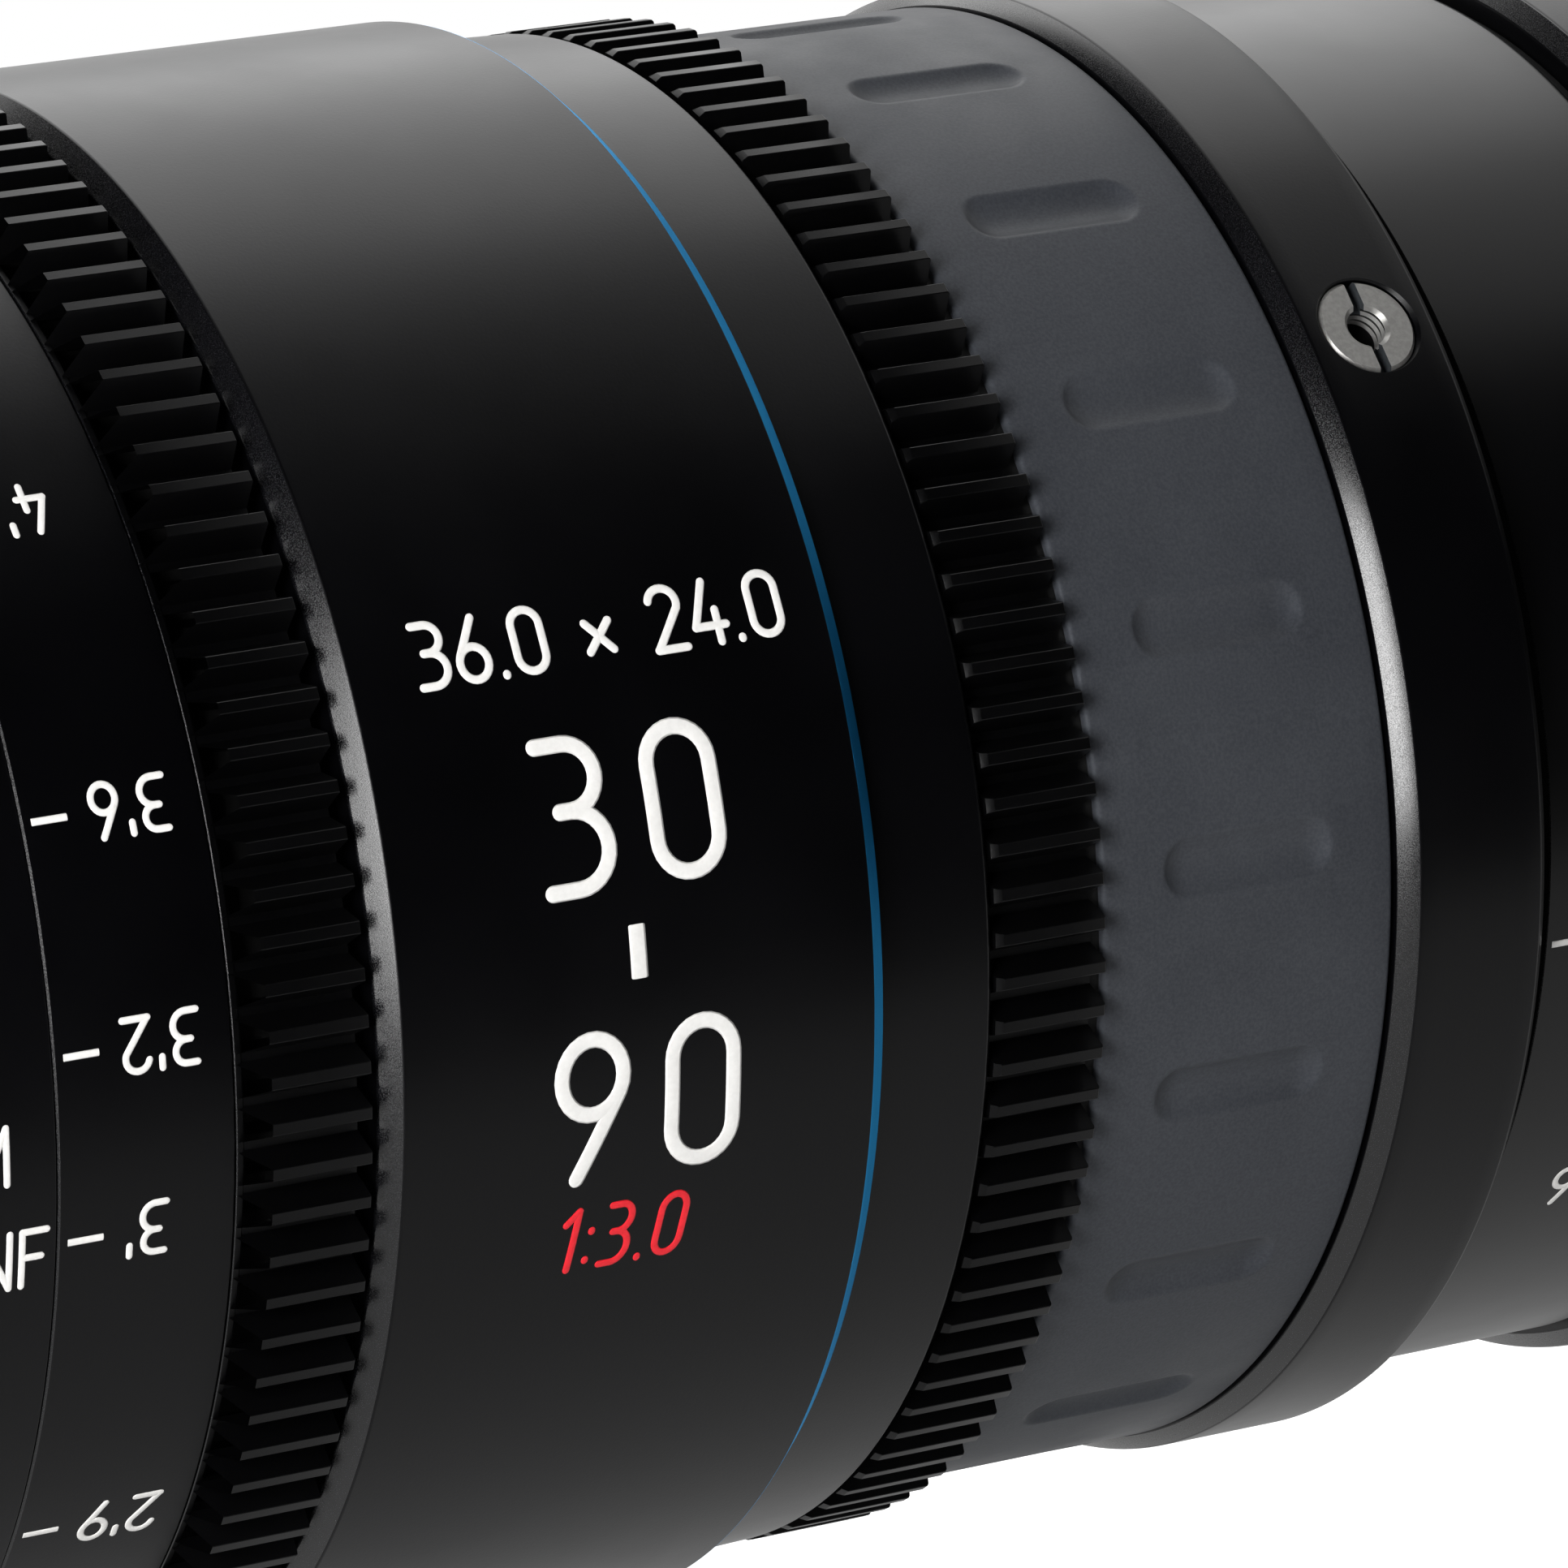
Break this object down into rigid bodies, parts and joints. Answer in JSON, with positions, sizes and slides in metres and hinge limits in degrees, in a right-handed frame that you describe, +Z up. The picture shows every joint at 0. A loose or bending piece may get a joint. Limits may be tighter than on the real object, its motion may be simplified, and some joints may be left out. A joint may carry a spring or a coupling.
{
  "type": "cinema zoom lens",
  "caption": "Compact cinema zoom lens with geared focus, zoom and iris rings, dimpled rubber grip, front collar and bayonet-lug camera mount.",
  "frame": {"origin": "centre of the mount's seating face, on the optical axis", "axes": "+X along the optical axis towards the camera, +Z up in the pictured pose, -Y towards the focus operator"},
  "size_m": [0.211, 0.095, 0.095],
  "materials": {
    "black_anodised": "bead-blasted, black anodised",
    "blue_anodised": "diamond-turned, blue anodised",
    "grip_rubber": "matte moulded",
    "steel": "turned stainless steel",
    "blade_steel": "blackened spring steel",
    "washer_plastic": "low-friction sheet",
    "coated_glass": "polished and coated"
  },
  "bodies": {
    "barrel": {"mount_flange": "steel", "rear_casing": "black_anodised", "mount_screws": "steel", "main_barrel": "black_anodised", "guide_barrel": "black_anodised", "cam_lock_ring": "black_anodised", "front_barrel": "black_anodised", "front_trim_ring": "black_anodised", "collar_screws": "steel", "centre_casing": "black_anodised", "accent_ring": "blue_anodised", "casing_band": "black_anodised", "rear_barrel": "black_anodised", "focus_washers": "washer_plastic", "zoom_washers": "washer_plastic", "iris_washers": "washer_plastic", "iris_cover_plate": "black_anodised", "iris_base_plate": "black_anodised", "relay_cell": "black_anodised", "relay_element": "coated_glass", "relay_spacer": "black_anodised", "rear_element": "coated_glass", "rear_lock_ring": "black_anodised"},
    "focus_ring": {"focus_gear": "black_anodised", "focus_scale_ring": "black_anodised", "focus_sleeve": "black_anodised", "focus_cam_sleeve": "black_anodised"},
    "focus_group": {"focus_cell": "black_anodised", "front_element": "coated_glass", "second_element": "coated_glass", "focus_lock_ring": "black_anodised", "focus_followers": "steel"},
    "zoom_ring": {"zoom_carrier": "black_anodised", "zoom_gear": "black_anodised", "zoom_grip": "grip_rubber", "zoom_flange_ring": "black_anodised", "lever_sockets": "steel", "zoom_cam_barrel": "black_anodised", "zoom_keys": "steel"},
    "variator": {"variator_cell": "black_anodised", "variator_element": "coated_glass", "variator_lock_ring": "black_anodised", "variator_followers": "steel"},
    "compensator": {"compensator_cell": "black_anodised", "compensator_element": "coated_glass", "compensator_lock_ring": "black_anodised", "compensator_followers": "steel"},
    "iris_control": {"iris_ring": "black_anodised", "iris_gear": "black_anodised", "iris_drive_pin": "steel", "iris_actuator": "black_anodised"},
    "blade_1": {"iris_blade_1": "blade_steel"},
    "blade_2": {"iris_blade_2": "blade_steel"},
    "blade_3": {"iris_blade_3": "blade_steel"},
    "blade_4": {"iris_blade_4": "blade_steel"},
    "blade_5": {"iris_blade_5": "blade_steel"},
    "blade_6": {"iris_blade_6": "blade_steel"},
    "blade_7": {"iris_blade_7": "blade_steel"},
    "blade_8": {"iris_blade_8": "blade_steel"},
    "blade_9": {"iris_blade_9": "blade_steel"}
  },
  "joints": [
    {"name": "focus_turn", "type": "hinge", "parent": "barrel", "child": "focus_ring", "pos_m": [0, 0, 0], "axis": [-1, 0, 0], "range_deg": [-40, 230]},
    {"name": "focus_slide", "type": "slide", "parent": "barrel", "child": "focus_group", "axis": [-1, 0, 0], "range_m": [-0.00178, 0.01022]},
    {"name": "zoom_turn", "type": "hinge", "parent": "barrel", "child": "zoom_ring", "pos_m": [0, 0, 0], "axis": [-1, 0, 0], "range_deg": [-45, 65]},
    {"name": "variator_slide", "type": "slide", "parent": "barrel", "child": "variator", "axis": [1, 0, 0], "range_m": [-0.00982, 0.01418]},
    {"name": "compensator_slide", "type": "slide", "parent": "barrel", "child": "compensator", "axis": [1, 0, 0], "range_m": [-0.00532, 0.00368]},
    {"name": "iris_turn", "type": "hinge", "parent": "barrel", "child": "iris_control", "pos_m": [0, 0, 0], "axis": [-1, 0, 0], "range_deg": [0, 60]},
    {"name": "blade_1_pivot", "type": "hinge", "parent": "barrel", "child": "blade_1", "pos_m": [-0.03, 0, 0.0258], "axis": [-1, 0, 0], "range_deg": [0, 36]},
    {"name": "blade_2_pivot", "type": "hinge", "parent": "barrel", "child": "blade_2", "pos_m": [-0.03, 0.01658, 0.01976], "axis": [-1, 0, 0], "range_deg": [0, 36]},
    {"name": "blade_3_pivot", "type": "hinge", "parent": "barrel", "child": "blade_3", "pos_m": [-0.03, 0.02541, 0.00448], "axis": [-1, 0, 0], "range_deg": [0, 36]},
    {"name": "blade_4_pivot", "type": "hinge", "parent": "barrel", "child": "blade_4", "pos_m": [-0.03, 0.02234, -0.0129], "axis": [-1, 0, 0], "range_deg": [0, 36]},
    {"name": "blade_5_pivot", "type": "hinge", "parent": "barrel", "child": "blade_5", "pos_m": [-0.03, 0.00882, -0.02424], "axis": [-1, 0, 0], "range_deg": [0, 36]},
    {"name": "blade_6_pivot", "type": "hinge", "parent": "barrel", "child": "blade_6", "pos_m": [-0.03, -0.00882, -0.02424], "axis": [-1, 0, 0], "range_deg": [0, 36]},
    {"name": "blade_7_pivot", "type": "hinge", "parent": "barrel", "child": "blade_7", "pos_m": [-0.03, -0.02234, -0.0129], "axis": [-1, 0, 0], "range_deg": [0, 36]},
    {"name": "blade_8_pivot", "type": "hinge", "parent": "barrel", "child": "blade_8", "pos_m": [-0.03, -0.02541, 0.00448], "axis": [-1, 0, 0], "range_deg": [0, 36]},
    {"name": "blade_9_pivot", "type": "hinge", "parent": "barrel", "child": "blade_9", "pos_m": [-0.03, -0.01658, 0.01976], "axis": [-1, 0, 0], "range_deg": [0, 36]}
  ],
  "couplings": [
    {"joint": "focus_slide", "follows": "focus_turn", "m_per_rad": 0.0025465},
    {"joint": "variator_slide", "follows": "zoom_turn", "m_per_rad": 0.012501},
    {"joint": "compensator_slide", "follows": "zoom_turn", "m_per_rad": -0.0046878},
    {"joint": "blade_1_pivot", "follows": "iris_turn", "ratio": 0.6},
    {"joint": "blade_2_pivot", "follows": "iris_turn", "ratio": 0.6},
    {"joint": "blade_3_pivot", "follows": "iris_turn", "ratio": 0.6},
    {"joint": "blade_4_pivot", "follows": "iris_turn", "ratio": 0.6},
    {"joint": "blade_5_pivot", "follows": "iris_turn", "ratio": 0.6},
    {"joint": "blade_6_pivot", "follows": "iris_turn", "ratio": 0.6},
    {"joint": "blade_7_pivot", "follows": "iris_turn", "ratio": 0.6},
    {"joint": "blade_8_pivot", "follows": "iris_turn", "ratio": 0.6},
    {"joint": "blade_9_pivot", "follows": "iris_turn", "ratio": 0.6}
  ]
}
